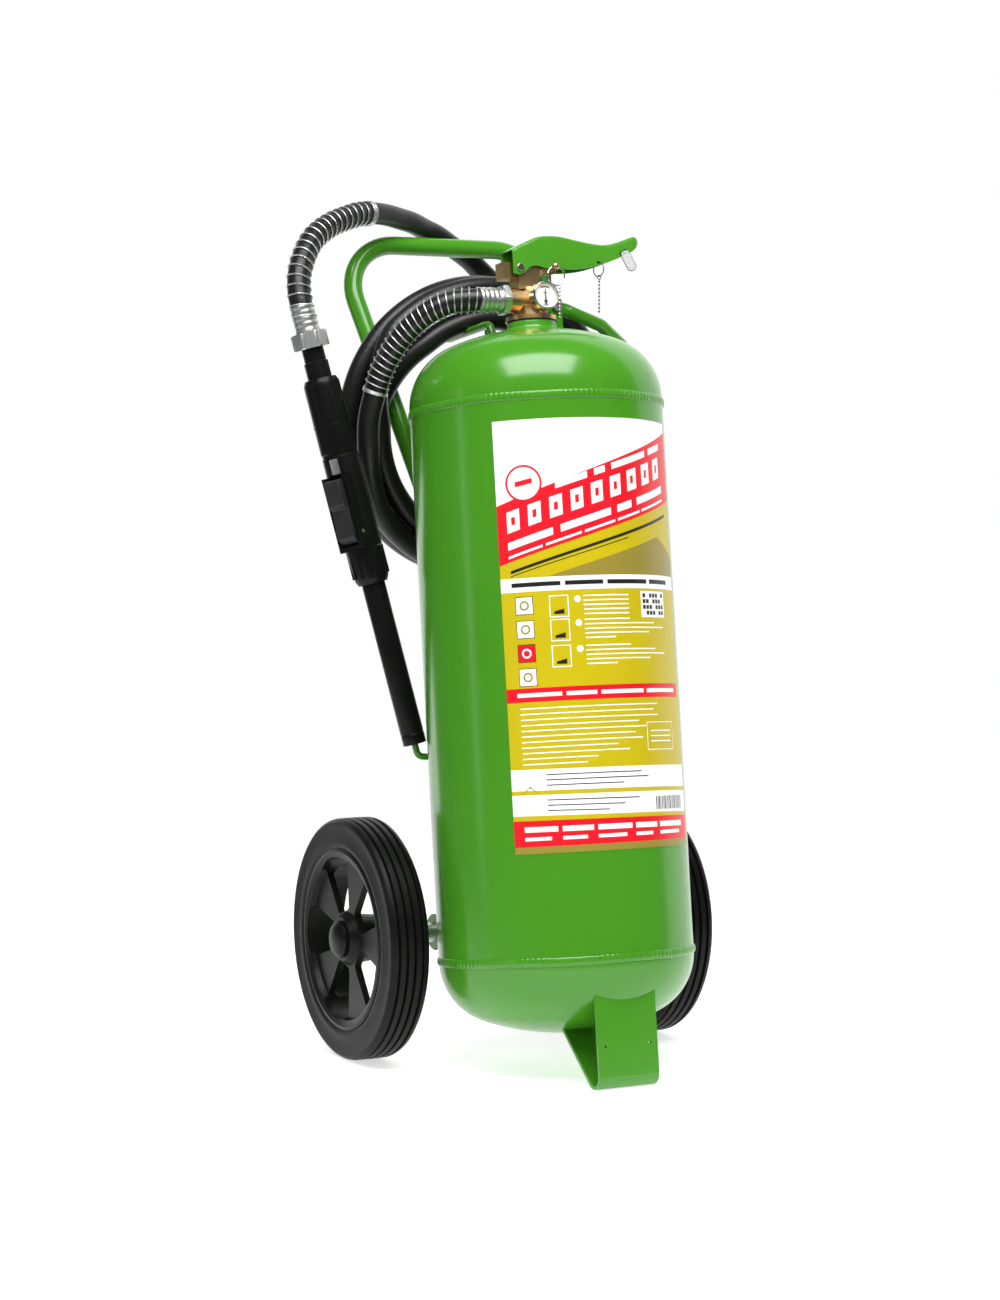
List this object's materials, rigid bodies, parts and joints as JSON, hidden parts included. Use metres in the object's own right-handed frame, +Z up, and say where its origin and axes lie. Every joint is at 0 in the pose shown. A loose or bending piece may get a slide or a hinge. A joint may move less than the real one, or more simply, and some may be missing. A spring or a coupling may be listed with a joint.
{
  "type": "wheeled fire extinguisher",
  "caption": "Wheeled fire extinguisher: a leaning green cylinder on two ribbed wheels and a foot, with a push bar, a brass squeeze valve, a coiled hose and a discharge gun.",
  "frame": {"origin": "on the floor, midway between the two wheels, under the axle", "axes": "+Z up, +Y to the back, towards the push bar, +X to the right seen from the front, along the axle"},
  "size_m": [0.4953, 0.5107, 1.0306],
  "materials": {
    "green_paint": "gloss",
    "label_film": "printed film",
    "zinc_plate": "zinc plated",
    "brass": "machined",
    "chrome": "polished",
    "dial": "printed",
    "lens": "clear",
    "tyre_rubber": "ribbed rubber",
    "rim_plastic": "moulded",
    "bush_nylon": "moulded",
    "hose_rubber": "satin",
    "seal_rubber": "matte",
    "gun_plastic": "moulded",
    "seal_plastic": "moulded",
    "tag_plastic": "translucent",
    "needle_black": "matte",
    "chain_steel": "dark beads",
    "sticker_silver": "silver film"
  },
  "bodies": {
    "extinguisher": {"shell": "green_paint", "top_dome": "green_paint", "bottom_dome": "green_paint", "weld_beads": "green_paint", "neck_ring": "green_paint", "label_wrap": "label_film", "foot": "green_paint", "handle_tube": "green_paint", "handle_lugs": "green_paint", "hanger_bracket": "green_paint", "hanger_arm": "green_paint", "hanger_bolt": "zinc_plate", "hose_saddle": "green_paint", "gun_peg": "green_paint", "axle": "zinc_plate", "axle_brackets": "green_paint", "axle_spacers": "zinc_plate", "dip_tube": "zinc_plate", "neck_seal": "seal_rubber", "valve_body": "brass", "gauge_case": "chrome", "gauge_dial": "dial", "gauge_lens": "lens", "lever_rivet": "zinc_plate", "outlet_nut": "zinc_plate", "outlet_ferrule": "zinc_plate", "hose_lead": "hose_rubber", "hose_coil": "hose_rubber", "hose_tail": "hose_rubber", "lead_guard": "zinc_plate", "tail_guard": "zinc_plate", "gun_ferrule": "zinc_plate", "gun_nut": "zinc_plate", "gun_body": "gun_plastic", "trigger_pin": "zinc_plate", "gun_sticker": "sticker_silver", "gun_collar": "gun_plastic", "gun_lance": "gun_plastic"},
    "wheel_left": {"tyre_left": "tyre_rubber", "rim_left": "rim_plastic", "bush_left": "bush_nylon", "cap_left": "rim_plastic"},
    "wheel_right": {"tyre_right": "tyre_rubber", "rim_right": "rim_plastic", "bush_right": "bush_nylon", "cap_right": "rim_plastic"},
    "squeeze_lever": {"lever": "green_paint"},
    "stem": {"valve_stem": "zinc_plate", "stem_spring": "zinc_plate"},
    "pin": {"safety_pin": "brass", "tamper_seal": "seal_plastic"},
    "pin_loop": {"pin_ring": "zinc_plate", "pin_chain": "zinc_plate"},
    "needle": {"gauge_needle": "needle_black"},
    "trigger": {"gun_trigger": "gun_plastic"},
    "lever_loop": {"lever_ring": "chain_steel", "lever_chain": "chain_steel"},
    "tag": {"lever_tag": "tag_plastic"}
  },
  "joints": [
    {"name": "wheel_left_spin", "type": "hinge", "parent": "extinguisher", "child": "wheel_left", "pos_m": [-0.192, 0, 0.144], "axis": [1, 0, 0], "continuous": true},
    {"name": "wheel_right_spin", "type": "hinge", "parent": "extinguisher", "child": "wheel_right", "pos_m": [0.192, 0, 0.144], "axis": [1, 0, 0], "continuous": true},
    {"name": "lever_squeeze", "type": "hinge", "parent": "extinguisher", "child": "squeeze_lever", "pos_m": [-0.019, -0.06779, 0.93833], "axis": [0, 0.9932, -0.1167], "range_deg": [0, 6], "stiffness_Nm_per_rad": 12, "springref_deg": -5.73},
    {"name": "stem_push", "type": "slide", "parent": "extinguisher", "child": "stem", "axis": [0, -0.1167, -0.9932], "range_m": [0, 0.0026]},
    {"name": "pin_pull", "type": "slide", "parent": "extinguisher", "child": "pin", "axis": [0, -0.9932, 0.1167], "range_m": [0, 0.05]},
    {"name": "pin_loop_swing", "type": "hinge", "parent": "pin", "child": "pin_loop", "pos_m": [0.026, -0.08799, 0.94211], "axis": [1, 0, 0], "range_deg": [-20, 0]},
    {"name": "needle_turn", "type": "hinge", "parent": "extinguisher", "child": "needle", "pos_m": [0.002, -0.10766, 0.89972], "axis": [0, 0.9932, -0.1167], "range_deg": [-35, 35]},
    {"name": "trigger_squeeze", "type": "hinge", "parent": "extinguisher", "child": "trigger", "pos_m": [-0.20758, -0.01534, 0.62599], "axis": [-0.5593, 0.7987, -0.2218], "range_deg": [0, 6], "stiffness_Nm_per_rad": 1.5, "springref_deg": -5.73},
    {"name": "lever_loop_swing", "type": "hinge", "parent": "squeeze_lever", "child": "lever_loop", "pos_m": [0.088, -0.08127, 0.94999], "axis": [0, 0.9932, -0.1167], "range_deg": [-15, 15]},
    {"name": "tag_swing", "type": "hinge", "parent": "squeeze_lever", "child": "tag", "pos_m": [0.124, -0.07994, 0.96342], "axis": [0, 0.9932, -0.1167], "range_deg": [-15, 25]}
  ],
  "couplings": [
    {"joint": "stem_push", "follows": "lever_squeeze", "m_per_rad": 0.024}
  ]
}
